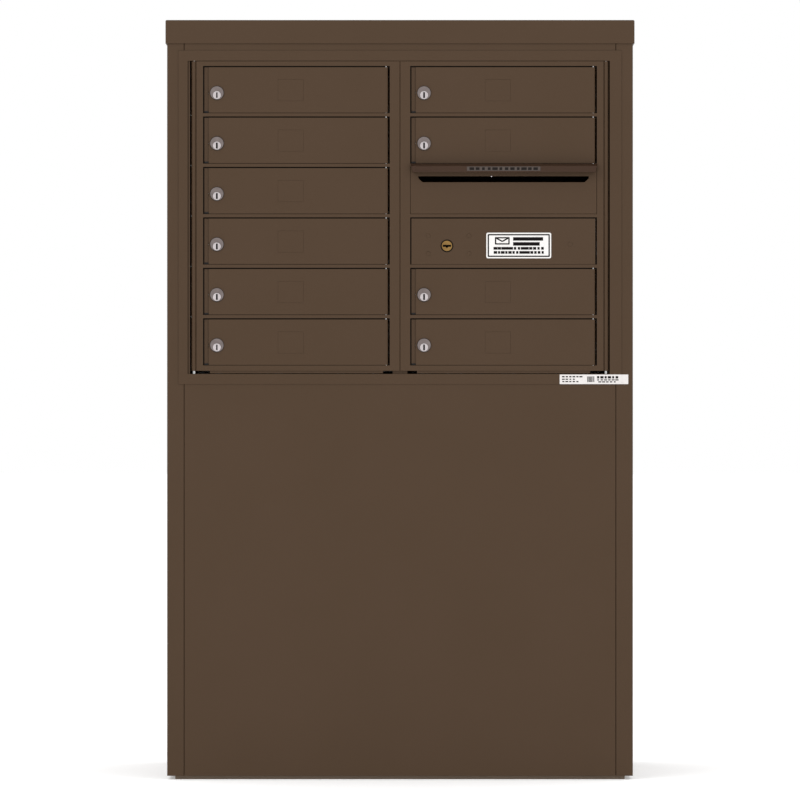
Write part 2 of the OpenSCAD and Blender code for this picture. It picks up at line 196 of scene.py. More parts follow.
bronzePowder = powderCoat("powderCoatedAluminiumBronze", "#463525", "#4d3b2d")     # even, soft brown
gapShadeAndRuleDark = powderCoat("nearBlackPaintedGapShadeAndRules", "#120c08", "#19110c")     # near-black painted shade for the gaps between parts; also the printed rules on the hood label
hoodPowder = powderCoat("powderCoatedHoodSemiMatt", "#38261a", "#3e2c20")     # darker and redder than the body
floorLitBasePowder = powderCoat("powderCoatedBasePaleFromPaintedFloorLight", "#726355", "#7c6c5b")     # painted pale, standing in for light reflected up from the white floor
sheetZinc = galvanisedSheet("galvanisedSteelSheet")     # cold grey crystals inside the compartments

# grains are in millimetres and stand for finer marks, so that they show
castZinc = workedMetal("dieCastZincSatin", "#665e5c", "#857b79", 0.32, 0.48, 0.9)     # dull warm grey
nickelFace = workedMetal("nickelPlatedZincBright", "#b4acad", "#d2cbcc", 0.2, 0.32, 1.1)     # bright, clean
brassTurned = workedMetal("turnedBrassSatin", "#7c5f35", "#987949", 0.28, 0.42, 0.8)     # handled, warm glint
brassDark = workedMetal("tarnishedBrassCase", "#6d5430", "#83683d", 0.38, 0.55, 1.5)     # brown, blotched
drawnSteel = workedMetal("drawnStainlessRod", "#a9a9a9", "#bdbdbd", 0.22, 0.34, 0.8,
                         (1, 1, 0.1))     # fine streaks along the rod
platedSteel = workedMetal("zincPlatedSteelPressing", "#a5a6a4", "#bfc0bd", 0.3, 0.44, 1.6)     # cool, cloudy
keywayShade = workedMetal("nearBlackPaintedKeywayShade", "#161413", "#221f1d", 0.45, 0.6, 0.7)     # nearly black, painted shade in the keyways and round the master plug

whiteVinyl = printedVinyl("mattWhiteVinyl", "#e6e4e2", "#dcd9d5", 0.55)     # warm white, handled in places
stickerPaper = printedVinyl("coatedPaperSticker", "#dedad8", "#d2cdca", 0.6)     # greyer and flatter
inkBlack = printedVinyl("screenPrintInkBlack", "#0e0c0b", "#161312", 0.6, 0.08)     # flat, without a sheen
labelGrey = printedVinyl("etchedLabelGrey", "#40352f", "#493e38", 0.5)     # dim strip on the hood
shadeBlack = printedVinyl("mattBlackPaintedShadeLines", "#0d0b0a", "#151211", 0.75)     # matt black, painted shadow lines round the lock faces and at the foot of the doors' edges
print("materials made:", len(bpy.data.materials))


# edges as the press, the saw and the mould leave them, in millimetres
edges = {
    "sheet": 0.3,
    "rod": 0.3,
    "pin": 0.25,
    "pressing": 0.4,
    "casting": 0.5,
    "bolt": 0.8,
}


# mesh tools

def copyOfNode(node):
    bm = bmesh.new()
    bm.from_mesh(frame["nodes"][node].data)
    bmesh.ops.remove_doubles(bm, verts=bm.verts, dist=mm(0.001))
    bmesh.ops.dissolve_limit(bm, angle_limit=math.radians(0.4), verts=bm.verts, edges=bm.edges)
    return bm


def roundEdges(bm, radius, segments=2, where=None, sharper=32):
    edges = []
    for e in bm.edges:
        if not e.is_manifold or e.calc_face_angle(0) < math.radians(sharper):
            continue
        middle = (e.verts[0].co + e.verts[1].co) * 500
        if where is None or where(middle):
            edges.append(e)
    bmesh.ops.bevel(bm, geom=edges, offset=mm(radius), segments=segments, profile=0.5,
                    affect="EDGES", clamp_overlap=True)


def addBox(bm, low, high, paint=0):
    corners = [bm.verts.new(place(x, y, z)) for z in (low[2], high[2])
               for y in (low[1], high[1]) for x in (low[0], high[0])]
    for ids in ((0, 2, 3, 1), (4, 5, 7, 6), (0, 1, 5, 4), (2, 6, 7, 3), (0, 4, 6, 2), (1, 3, 7, 5)):
        face = bm.faces.new([corners[i] for i in ids])
        face.material_index = paint


def addLathe(bm, profile, centre, turn, steps=32, paint=0):
    rings = []
    for radius, height in profile:
        count = 1 if radius == 0 else steps
        ring = []
        for i in range(count):
            angle = 2 * math.pi * i / steps
            spot = Vector((radius * math.cos(angle), radius * math.sin(angle), height))
            ring.append(bm.verts.new((turn @ spot + Vector(centre)) / 1000))
        rings.append(ring)
    for a, b in zip(rings, rings[1:]):
        for i in range(steps):
            quad = [a[i % len(a)], a[(i + 1) % len(a)], b[(i + 1) % len(b)], b[i % len(b)]]
            face = bm.faces.new(dict.fromkeys(quad))
            face.material_index = paint


def addShape(bm, outer, inner, near, far, paint=0):
    rims = [[bm.verts.new(place(x, y, z)) for x, z in loop]
            for loop in (outer, inner or ()) for y in (near, far)]
    count = len(outer)
    faces = []
    for i in range(count):
        j = (i + 1) % count
        faces.append([rims[0][i], rims[0][j], rims[1][j], rims[1][i]])
        if inner:
            faces.append([rims[2][i], rims[3][i], rims[3][j], rims[2][j]])
            faces.append([rims[0][i], rims[2][i], rims[2][j], rims[0][j]])
            faces.append([rims[1][i], rims[1][j], rims[3][j], rims[3][i]])
    if not inner:
        faces += [rims[0], rims[1]]
    for corners in faces:
        bm.faces.new(corners).material_index = paint


def roundedLoop(x, z, halfWide, halfHigh, radius, steps=6):
    loop = []
    for corner, (sideX, sideZ) in enumerate(((1, 1), (-1, 1), (-1, -1), (1, -1))):
        for i in range(steps + 1):
            angle = math.radians(90 * (corner + i / steps))
            loop.append((x + sideX * (halfWide - radius) + radius * math.cos(angle),
                         z + sideZ * (halfHigh - radius) + radius * math.sin(angle)))
    return loop


def strokeLoop(start, end, width):
    along = (Vector(end) - Vector(start)).normalized() * width / 2
    across = Vector((-along.y, along.x))
    return [tuple(Vector(p) + s * across) for p, s in ((start, 1), (start, -1), (end, -1), (end, 1))]


def splitAt(bm, spot, way):
    bmesh.ops.bisect_plane(bm, geom=bm.verts[:] + bm.edges[:] + bm.faces[:], dist=mm(0.001),
                           plane_co=place(*spot), plane_no=way)


def paintFaces(bm, index, where):
    for f in bm.faces:
        if where(f.calc_center_median() * 1000, f.normal):
            f.material_index = index


def bakeModifiers(piece):
    evaluated = piece.evaluated_get(bpy.context.evaluated_depsgraph_get())
    mesh = bpy.data.meshes.new_from_object(evaluated)
    piece.modifiers.clear()
    piece.data = mesh
    mesh.name = piece.name


def finishPiece(name, bm, materials, body, stands=(), smooth=40, outward=False):
    if outward:
        bmesh.ops.recalc_face_normals(bm, faces=bm.faces)
    mesh = bpy.data.meshes.new(name)
    bm.to_mesh(mesh)
    bm.free()
    for material in materials:
        mesh.materials.append(material)
    mesh.shade_smooth()
    mesh.set_sharp_from_angle(angle=math.radians(smooth))
    piece = bpy.data.objects.new(name, mesh)
    bpy.context.scene.collection.objects.link(piece)
    weighted = piece.modifiers.new("evenFaces", "WEIGHTED_NORMAL")
    weighted.keep_sharp = True
    bakeModifiers(piece)
    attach(piece, body)
    if stands:
        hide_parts(*stands)
    return piece


towardsViewer = Matrix.Rotation(math.radians(90), 3, "X")      # lathe +Z becomes -Y


# Geometry Nodes: each tree has named inputs and ends as one painted mesh

def startTree(name, **inputs):
    tree = bpy.data.node_groups.new(name, "GeometryNodeTree")
    for label, kind in {"Geometry": "Geometry", **inputs, "Material": "Material"}.items():
        tree.interface.new_socket(label, in_out="INPUT", socket_type="NodeSocket" + kind)
    tree.interface.new_socket("Geometry", in_out="OUTPUT", socket_type="NodeSocketGeometry")
    return tree, addNode(tree, "NodeGroupInput").outputs


def endTree(tree, given, geometry):
    whole = addNode(tree, "GeometryNodeRealizeInstances", links={"Geometry": geometry})
    painted = addNode(tree, "GeometryNodeSetMaterial",
                      links={"Geometry": whole.outputs[0], "Material": given["Material"]})
    addNode(tree, "NodeGroupOutput", links={0: painted.outputs[0]})
    return tree


def makeHeadTree():
    tree, given = startTree("domedHeads", HeadRadius="Float", HeadHeight="Float")
    dome = addNode(tree, "GeometryNodeMeshUVSphere", {"Segments": 20, "Rings": 8, "Radius": 1.0})
    size = addNode(tree, "ShaderNodeCombineXYZ", links={"X": given["HeadRadius"], "Y": given["HeadRadius"],
                                                        "Z": given["HeadHeight"]})
    facing = addNode(tree, "GeometryNodeInputNamedAttribute", {"Name": "facing"}, data_type="FLOAT_VECTOR")
    turned = addNode(tree, "FunctionNodeAlignRotationToVector", links={"Vector": facing.outputs[0]}, axis="Z")
    heads = addNode(tree, "GeometryNodeInstanceOnPoints",
                    links={"Points": given["Geometry"], "Instance": dome.outputs[0],
                           "Rotation": turned.outputs[0], "Scale": size.outputs[0]})
    return endTree(tree, given, heads.outputs[0])


def makeThreadTree():
    tree, given = startTree("screwThread", Turns="Float", Pitch="Float", Radius="Float", Ridge="Float",
                            Start="Vector")
    length = addNode(tree, "ShaderNodeMath", links={0: given["Turns"], 1: given["Pitch"]},
                     operation="MULTIPLY")
    helix = addNode(tree, "GeometryNodeCurveSpiral", {"Resolution": 28},
                    {"Rotations": given["Turns"], "Start Radius": given["Radius"],
                     "End Radius": given["Radius"], "Height": length.outputs[0]})
    ridge = addNode(tree, "GeometryNodeCurvePrimitiveCircle", {"Resolution": 4}, {"Radius": given["Ridge"]})
    thread = addNode(tree, "GeometryNodeCurveToMesh", {"Fill Caps": True},
                     {"Curve": helix.outputs[0], "Profile Curve": ridge.outputs[0]})
    laid = addNode(tree, "GeometryNodeTransform", {"Rotation": (math.radians(-90), 0, 0)},
                   {"Geometry": thread.outputs[0], "Translation": given["Start"]})
    return endTree(tree, given, laid.outputs[0])


def makeRuleTree():
    tree, given = startTree("printedRules", Count="Int", Spacing="Float", BarLength="Float",
                            BarHeight="Float", Film="Float", Seed="Int", Start="Vector")
    step = addNode(tree, "ShaderNodeCombineXYZ", links={"X": given["Spacing"]})
    line = addNode(tree, "GeometryNodeMeshLine", links={"Count": given["Count"], "Offset": step.outputs[0],
                                                        "Start Location": given["Start"]})
    share = addNode(tree, "FunctionNodeRandomValue", {2: 0.45, 3: 1.0}, {8: given["Seed"]}, data_type="FLOAT")
    length = addNode(tree, "ShaderNodeMath", links={0: given["BarLength"], 1: share.outputs[1]},
                     operation="MULTIPLY")
    size = addNode(tree, "ShaderNodeCombineXYZ", links={"X": length.outputs[0], "Y": given["Film"],
                                                        "Z": given["BarHeight"]})
    bar = addNode(tree, "GeometryNodeMeshCube", {"Size": (1, 1, 1)})
    bars = addNode(tree, "GeometryNodeInstanceOnPoints",
                   links={"Points": line.outputs[0], "Instance": bar.outputs[0], "Scale": size.outputs[0]})
    return endTree(tree, given, bars.outputs[0])


def growPiece(name, tree, values, body, spots=(), smooth=40):
    mesh = bpy.data.meshes.new(name)
    mesh.from_pydata([place(*spot) for spot, way in spots], [], [])
    if spots:
        facing = mesh.attributes.new("facing", "FLOAT_VECTOR", "POINT")
        for i, (spot, way) in enumerate(spots):
            facing.data[i].vector = way
    piece = bpy.data.objects.new(name, mesh)
    bpy.context.scene.collection.objects.link(piece)
    grown = piece.modifiers.new("grown", "NODES")
    grown.node_group = tree
    for socket in tree.interface.items_tree:
        if socket.in_out == "INPUT" and socket.name in values:
            grown[socket.identifier] = values[socket.name]
    bakeModifiers(piece)
    piece.data.shade_smooth()
    piece.data.set_sharp_from_angle(angle=math.radians(smooth))
    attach(piece, body)
    return piece


headTree = makeHeadTree()
threadTree = makeThreadTree()
ruleTree = makeRuleTree()
print("node trees made")


# cabinet sheets

cabinet = {
    "bend": 2.4,       # outer radius of the folded corners
    "edge": 0.45,      # broken edge of a sheared sheet under its paint
    "trimEdge": 0.25,
    "rivetRadius": 4.2,
    "rivetHeight": 1.3,
    "rivetPitch": 108,
    "rivetStart": 40,       # height of the lowest rivets
    "sillRow": 34,          # row that holds the base
    "sillPitch": 90,
    "flangeMiddle": 14.75,  # from the outer face of a side panel
    "railAbove": 16,        # row that holds the rails, above their underside
    "grip": 0.4,            # how near an edge must be to count as an outer one
}


def makeCabinet():
    half = boxMm("right_side_panel")[1]
    grip = cabinet["grip"]

    def atCorner(p):
        return abs(p.x) > half.x - grip and abs(p.y) > half.y - grip

    for side in ("left", "right"):
        bm = copyOfNode(side + "_side_panel")
        roundEdges(bm, cabinet["bend"], 4, atCorner)
        roundEdges(bm, cabinet["edge"], 2)
        finishPiece(side + "SidePanel", bm, [bronzePowder], "root", [side + "_side_panel"])

    low, high = boxMm("roof_cap")

    def outside(p):
        return p.z > high.z - grip or (abs(p.x) > high.x - grip and abs(p.y) > high.y - grip)

    bm = copyOfNode("roof_cap")
    roundEdges(bm, cabinet["bend"], 4, outside)
    roundEdges(bm, cabinet["edge"], 2)
    finishPiece("roofCap", bm, [bronzePowder], "root", ["roof_cap"])

    for node, name in (("back_panel", "backPanel"), ("lower_front_panel", "lowerFrontPanel"),
                       ("header_rail", "headerRail"), ("surround_trim", "surroundTrim")):
        bm = copyOfNode(node)
        roundEdges(bm, cabinet["trimEdge" if node == "surround_trim" else "edge"], 2)
        finishPiece(name, bm, [bronzePowder], "root", [node])

    bm = copyOfNode("base_pan")
    roundEdges(bm, cabinet["edge"], 2)
    finishPiece("basePan", bm, [floorLitBasePowder], "root", ["base_pan"])

    seam = half.x - cabinet["flangeMiddle"]
    rail = boxMm("module_support_rails")[0].z + cabinet["railAbove"]
    start, sill = cabinet["rivetStart"], cabinet["sillRow"]
    spots = []
    for side in (-1, 1):
        rows = int((low.z - start - 30) / cabinet["rivetPitch"])
        spots += [((side * seam, half.y, start + cabinet["rivetPitch"] * i), (0, 1, 0))
                  for i in range(rows + 1)]
        for z, count, reach in ((rail, 5, 170), (sill, 7, 200)):
            spots += [((side * half.x, reach * (2 * i / (count - 1) - 1), z), (side, 0, 0))
                      for i in range(count)]
    spots += [((cabinet["sillPitch"] * i, half.y, sill), (0, 1, 0)) for i in range(-3, 4)]
    growPiece("seamRivets", headTree, {"HeadRadius": mm(cabinet["rivetRadius"]),
                                       "HeadHeight": mm(cabinet["rivetHeight"]), "Material": bronzePowder},
              "root", spots)


makeCabinet()
print("cabinet made")


# mail module, fixed parts

module = {
    "paintedLip": 14,      # faces this far in from the front: forward-facing ones painted bronze, the rest near-black as painted shade
    "weldRadius": 3,
    "weldHeight": 0.25,
    "weldsPerShelf": 6,
    "weldInset": 30,       # first and last weld from a shelf's ends
    "weldAbove": 7,        # above the middle of the shelf
    "shelfSheet": 1.6,
}


def makeModule():
    front = boxMm("housing_shell")[0].y
    for node, name in (("housing_shell", "housingShell"), ("housing_back", "housingBack"),
                       ("centre_divider", "centreDivider"), ("compartment_shelves", "compartmentShelves"),
                       ("module_support_rails", "moduleSupportRails")):
        bm = copyOfNode(node)
        roundEdges(bm, edges["sheet"], 2)
        lip = front + module["paintedLip"]
        if node in ("housing_shell", "centre_divider"):
            splitAt(bm, (0, lip, 0), (0, 1, 0))
            # forward faces of the lip painted bronze; the other faces in the gap painted near-black as
            # painted shade
            paintFaces(bm, 1, lambda p, n: p.y < lip and n.y < -0.5)
            paintFaces(bm, 2, lambda p, n: p.y < lip and n.y >= -0.5)
        finishPiece(name, bm, [sheetZinc, bronzePowder, gapShadeAndRuleDark], "root", [node])
    bm = copyOfNode("master_pivot_pins")
    roundEdges(bm, edges["rod"], 2)
    finishPiece("masterPivotPins", bm, [drawnSteel], "root", ["master_pivot_pins"])
    bm = copyOfNode("release_bolt")
    roundEdges(bm, edges["bolt"], 3)
    finishPiece("releaseBolt", bm, [platedSteel], "release_bolt", ["release_bolt"])

    low, high = boxMm("compartment_shelves")
    sheet, inset, perShelf = module["shelfSheet"], module["weldInset"], module["weldsPerShelf"]
    pitch = (high.z - low.z - sheet) / 4
    spots = []
    for side, x in ((1, low.x), (-1, high.x)):
        for row in range(5):
            if side == -1 and row == 2:
                continue      # the outgoing compartment is two rows high
            z = low.z + sheet / 2 + pitch * row + module["weldAbove"]
            for i in range(perShelf):
                y = low.y + inset + (high.y - low.y - 2 * inset) * i / (perShelf - 1)
                spots.append(((x, y, z), (side, 0, 0)))
    growPiece("shelfWelds", headTree, {"HeadRadius": mm(module["weldRadius"]),
                                       "HeadHeight": mm(module["weldHeight"]), "Material": sheetZinc},
              "root", spots)


makeModule()
print("module made")


# master doors

masterDoor = {
    "edge": 0.5,
    "lit": 0.9,             # depth into a gap that stays bronze; gap faces deeper than this are painted near-black as painted shade
    "stops": 9.2,
    "dripLip": 4.6,         # the lip's height, which stays fully painted
    "labelWide": 129.8,     # strip on the hood
    "labelHigh": 8,
    "labelX": 182.3,
    "padWide": 27,          # plain pad at the hood's left
    "padX": 40.5,
    "recess": 0.5,
    "labelAbove": 6.2,      # middle of the strip above the hood's lower edge
    "knuckle": 4.8,         # half width of the hinge knuckle, painted all round
    "meeting": 12,          # the meeting edges too
    "hoodEdge": 0.6,
    "ruleCount": 12,
    "rulePitch": 10.2,
    "ruleLong": 9.6,
    "ruleHigh": 4.8,
    "ruleStart": 56,        # first bar left of the strip's middle
    "panelEdge": 0.6,
    "stopX": 161.2,         # rivet that stops the flap behind the slot
    "stopZ": 66.2,
    "stopRadius": 1.6,
    "headEdge": 0.8,        # screw heads
}


def makeFrames():
    for side in ("left", "right"):
        body = side + "_master"
        bm = copyOfNode(side + "_master_frame")
        roundEdges(bm, masterDoor["edge"], 2)
        low = boxMm(side + "_master_frame")[0]
        front, sill = low.y, low.z + masterDoor["dripLip"]
        hinge = abs(frameHinge(body))
        near, far = front + masterDoor["lit"], front + masterDoor["stops"]
        for y in (near, far):
            splitAt(bm, (0, y, 0), (0, 1, 0))
        # reveal faces in the gap, down to the stops, painted near-black as painted shade
        paintFaces(bm, 1, lambda p, n: near < p.y < far and n.z < 0.5 and p.z > sill
                   and abs(p.x) > masterDoor["meeting"] and abs(abs(p.x) - hinge) > masterDoor["knuckle"])
        finishPiece(side + "MasterFrame", bm, [bronzePowder, gapShadeAndRuleDark], body,
                    [side + "_master_frame"])
        bm = copyOfNode(side + "_door_pins")
        roundEdges(bm, edges["pin"], 2)
        finishPiece(side + "DoorPins", bm, [drawnSteel], body, [side + "_door_pins"])


def frameHinge(body):
    pins = frame["nodes"]["master_pivot_pins"].data.vertices
    side = -1 if body == "left_master" else 1
    xs = [v.co.x * 1000 for v in pins if v.co.x * side > 0]
    return (min(xs) + max(xs)) / 2


def makeHood():
    low = boxMm("outgoing_hood")[0]
    bm = copyOfNode("outgoing_hood")
    roundEdges(bm, masterDoor["hoodEdge"], 3)
    middle = low.z + masterDoor["labelAbove"]
    spots = ((masterDoor["labelX"], masterDoor["labelWide"]), (masterDoor["padX"], masterDoor["padWide"]))
    half = masterDoor["labelHigh"] / 2
    for x, wide in spots:
        for edge in (x - wide / 2, x + wide / 2):
            splitAt(bm, (edge, 0, 0), (1, 0, 0))
    for z in (middle - half, middle + half):
        splitAt(bm, (0, 0, z), (0, 0, 1))
    for x, wide in spots:
        pocket = [f for f in bm.faces
                  if abs(f.calc_center_median().x * 1000 - x) < wide / 2 and f.normal.y < -0.9
                  and abs(f.calc_center_median().z * 1000 - middle) < half
                  and f.calc_center_median().y * 1000 < low.y + 0.1]
        bmesh.ops.inset_region(bm, faces=pocket, thickness=mm(0.02), depth=-mm(masterDoor["recess"]))
    finishPiece("outgoingHood", bm, [hoodPowder], "right_master", ["outgoing_hood"])

    bm = bmesh.new()
    for (x, wide), paint in zip(spots, (0, 1)):
        loop = roundedLoop(x, middle, wide / 2 - 0.2, half - 0.2, 0.6, 3)
        addShape(bm, loop, None, low.y + 0.1, low.y + masterDoor["recess"], paint)
    finishPiece("hoodLabel", bm, [labelGrey, hoodPowder], "right_master", (), outward=True)
    growPiece("hoodLabelRules", ruleTree,
              {"Count": masterDoor["ruleCount"], "Spacing": mm(masterDoor["rulePitch"]),
               "BarLength": mm(masterDoor["ruleLong"]), "BarHeight": mm(masterDoor["ruleHigh"]),
               "Film": mm(0.1), "Seed": 7, "Material": gapShadeAndRuleDark,
               "Start": place(masterDoor["labelX"] - masterDoor["ruleStart"], low.y + 0.08, middle)},
              "right_master")


mailPlate = {
    "inset": 2.4,          # white margin outside the printed border
    "border": 2.4,
    "ink": 0.06,
    "envelopeWide": 13,    # half width and height of the pictogram
    "envelopeHigh": 6.6,
    "envelopeX": -29,      # its middle from the plate's middle
    "envelopeZ": 8.2,
    "stroke": 2.4,
    "barStart": -10,       # two long bars beside the pictogram
    "barEnds": (43, 37),
    "barThick": 6.2,
    "barTop": 11.6,
    "barPitch": 8.8,
    "ruleLong": 7.4,       # broken bars below
    "ruleHigh": 4.8,
    "ruleX": -41,
    "ruleTop": -5,
    "rulePitch": 7.2,
}


def makeMailPlate():
    low, high = boxMm("mail_plate")
    x, z = (low.x + high.x) / 2, (low.z + high.z) / 2
    halfWide, halfHigh = (high.x - low.x) / 2, (high.z - low.z) / 2
    bm = copyOfNode("mail_plate")
    roundEdges(bm, edges["pin"], 2)
    finishPiece("mailPlate", bm, [whiteVinyl], "right_master", ["mail_plate"])

    near, far = low.y - mailPlate["ink"], low.y + 0.2
    inset, border = mailPlate["inset"], mailPlate["border"]
    bm = bmesh.new()
    addShape(bm, roundedLoop(x, z, halfWide - inset, halfHigh - inset, 1.6),
             roundedLoop(x, z, halfWide - inset - border, halfHigh - inset - border, 0.6), near, far)
    wide, high, stroke = mailPlate["envelopeWide"], mailPlate["envelopeHigh"], mailPlate["stroke"]
    cx, cz = x + mailPlate["envelopeX"], z + mailPlate["envelopeZ"]
    addShape(bm, roundedLoop(cx, cz, wide, high, 1), roundedLoop(cx, cz, wide - stroke, high - stroke, 0.4),
             near, far)
    for side in (-1, 1):      # flap of the envelope
        addShape(bm, strokeLoop((cx + side * (wide - 1), cz + high - 1), (cx, cz - 1), stroke), None,
                 near - 0.01, far)
    for row, end in enumerate(mailPlate["barEnds"]):
        level = z + mailPlate["barTop"] - row * mailPlate["barPitch"]
        bar = strokeLoop((x + mailPlate["barStart"], level), (x + end, level), mailPlate["barThick"])
        addShape(bm, bar, None, near, far)
    finishPiece("mailPlateInk", bm, [inkBlack], "right_master", (), outward=True)
    for row, (count, spacing) in enumerate(((13, 6.9), (14, 6.4))):
        level = z + mailPlate["ruleTop"] - row * mailPlate["rulePitch"]
        growPiece("mailPlateRules" + str(row), ruleTree,
                  {"Count": count, "Spacing": mm(spacing), "BarLength": mm(mailPlate["ruleLong"]),
                   "BarHeight": mm(mailPlate["ruleHigh"]), "Film": mm(0.12), "Seed": 3 + row,
                   "Start": place(x + mailPlate["ruleX"], near + 0.06, level), "Material": inkBlack},
                  "right_master")


masterLock = {
    "rim": 0.35,           # edge of the plug's face
    "rimFrom": 8,          # radius beyond which edges belong to the rim
    "mouth": 0.8,          # worn mouth of the keyway, painted dark with it as painted shade
    "keywayDeep": 4,
    "ring": [(9.3, 0), (11.2, 0), (11.0, 0.5), (10.4, 0.75), (9.5, 0.7), (9.3, 0)],     # radius, height
}


def makeMasterLock():
    low, high = boxMm("arrow_lock_plug")
    centre = Vector(((low.x + high.x) / 2, 0, (low.z + high.z) / 2))
    front = boxMm("master_lock_panel")[0].y
    bm = copyOfNode("arrow_lock_case")
    roundEdges(bm, edges["casting"], 2)
    finishPiece("masterLockCase", bm, [brassDark], "right_master", ["arrow_lock_case"])
    bm = copyOfNode("arrow_lock_plug")
    rimFrom = masterLock["rimFrom"]
    roundEdges(bm, masterLock["rim"], 2, lambda p: (p - centre).xz.length > rimFrom)
    roundEdges(bm, masterLock["mouth"], 1, lambda p: p.y < low.y + 0.1 and (p - centre).xz.length < 7)
    # keyway and its mouth painted nearly black as painted shade
    paintFaces(bm, 1, lambda p, n: low.y + 0.1 < p.y < front + masterLock["keywayDeep"]
               and (p - centre).xz.length < rimFrom)
    finishPiece("masterLockPlug", bm, [brassTurned, keywayShade], "master_lock_plug",
                ["arrow_lock_plug"])
    # near-black ring round the plug: painted shade of the gap in the panel's hole
    bm = bmesh.new()
    addLathe(bm, masterLock["ring"], (centre.x, front, centre.z), towardsViewer, 40)
    bmesh.ops.remove_doubles(bm, verts=bm.verts, dist=mm(0.001))
    finishPiece("masterLockShadeRing", bm, [keywayShade], "right_master", (), outward=True)
    bm = copyOfNode("arrow_bolt")
    roundEdges(bm, edges["casting"], 2)
    finishPiece("masterBolt", bm, [platedSteel], "master_bolt", ["arrow_bolt"])


def makeMasterDoors():
    makeFrames()
    bm = copyOfNode("left_latch_keeper")
    roundEdges(bm, edges["pressing"], 2)
    finishPiece("leftLatchKeeper", bm, [platedSteel], "left_master", ["left_latch_keeper"])
    for node, name in (("slot_panel", "slotPanel"), ("master_lock_panel", "masterLockPanel")):
        bm = copyOfNode(node)
        roundEdges(bm, masterDoor["panelEdge"], 3)
        near = boxMm(node)[0].y + masterDoor["lit"]
        splitAt(bm, (0, near, 0), (0, 1, 0))
        # edge faces in the gap round the panel painted near-black as painted shade
        paintFaces(bm, 1, lambda p, n: near < p.y < near + 2 and abs(n.y) < 0.5)
        finishPiece(name, bm, [bronzePowder, gapShadeAndRuleDark], "right_master", [node])
    low = boxMm("slot_panel")[0]
    stop = (masterDoor["stopX"], low.y + 0.4, low.z + masterDoor["stopZ"])
    growPiece("slotStop", headTree, {"HeadRadius": mm(masterDoor["stopRadius"]), "HeadHeight": mm(1.0),
                                     "Material": nickelFace},
              "right_master", [(stop, (0, -1, 0))])
    bm = copyOfNode("slot_baffle")
    roundEdges(bm, edges["sheet"], 2)
    # the baffle's faces towards the slot painted near-black: painted shade inside the slot
    paintFaces(bm, 1, lambda p, n: n.y < 0)
    finishPiece("slotBaffle", bm, [sheetZinc, gapShadeAndRuleDark], "right_master", ["slot_baffle"])
    bm = copyOfNode("lock_panel_screws")
    roundEdges(bm, masterDoor["headEdge"], 4, lambda p: p.y < low.y - 0.5)
    roundEdges(bm, edges["rod"], 2, lambda p: p.y > low.y + 1)
    paintFaces(bm, 1, lambda p, n: p.y > low.y + 0.5)
    finishPiece("lockPanelScrews", bm, [bronzePowder, platedSteel], "right_master",
                ["lock_panel_screws"])
    makeHood()
    makeMailPlate()
    makeMasterLock()


makeMasterDoors()
print("master doors made")


# tenant doors

tenant = {
    "edge": 0.6,
    "lit": 0.9,
    "cardX": 152.3,       # centre of the number card from the panel's left edge
    "cardZ": 39.7,        # and above its bottom edge
    "cardWide": 44.4,
    "cardHigh": 37.4,
    "shadeBlockWide": 7.4,
    "shadeBlockHigh": 2.8,
    "threadTurns": 6,
    "threadPitch": 1.4,
    "threadRidge": 0.32,
    "threadRadius": 10.8,
    "threadStart": 6.6,   # behind the door's face
    "caseEdge": 0.3,
    "rimFrom": 11.6,      # the face's bevelled rim starts at this radius
    "nutFrom": 10.9,
    "plugDrop": 3.9,      # plug's axis below the middle of its case
    "plugEdge": 0.3,
    "plugRim": 5.2,
    "mouth": 0.4,         # worn mouth of the keyway, painted dark with it as painted shade
    "keywayDeep": 5,
    "camFrom": 17,        # the cam and its screw start this far behind the plug's face
}


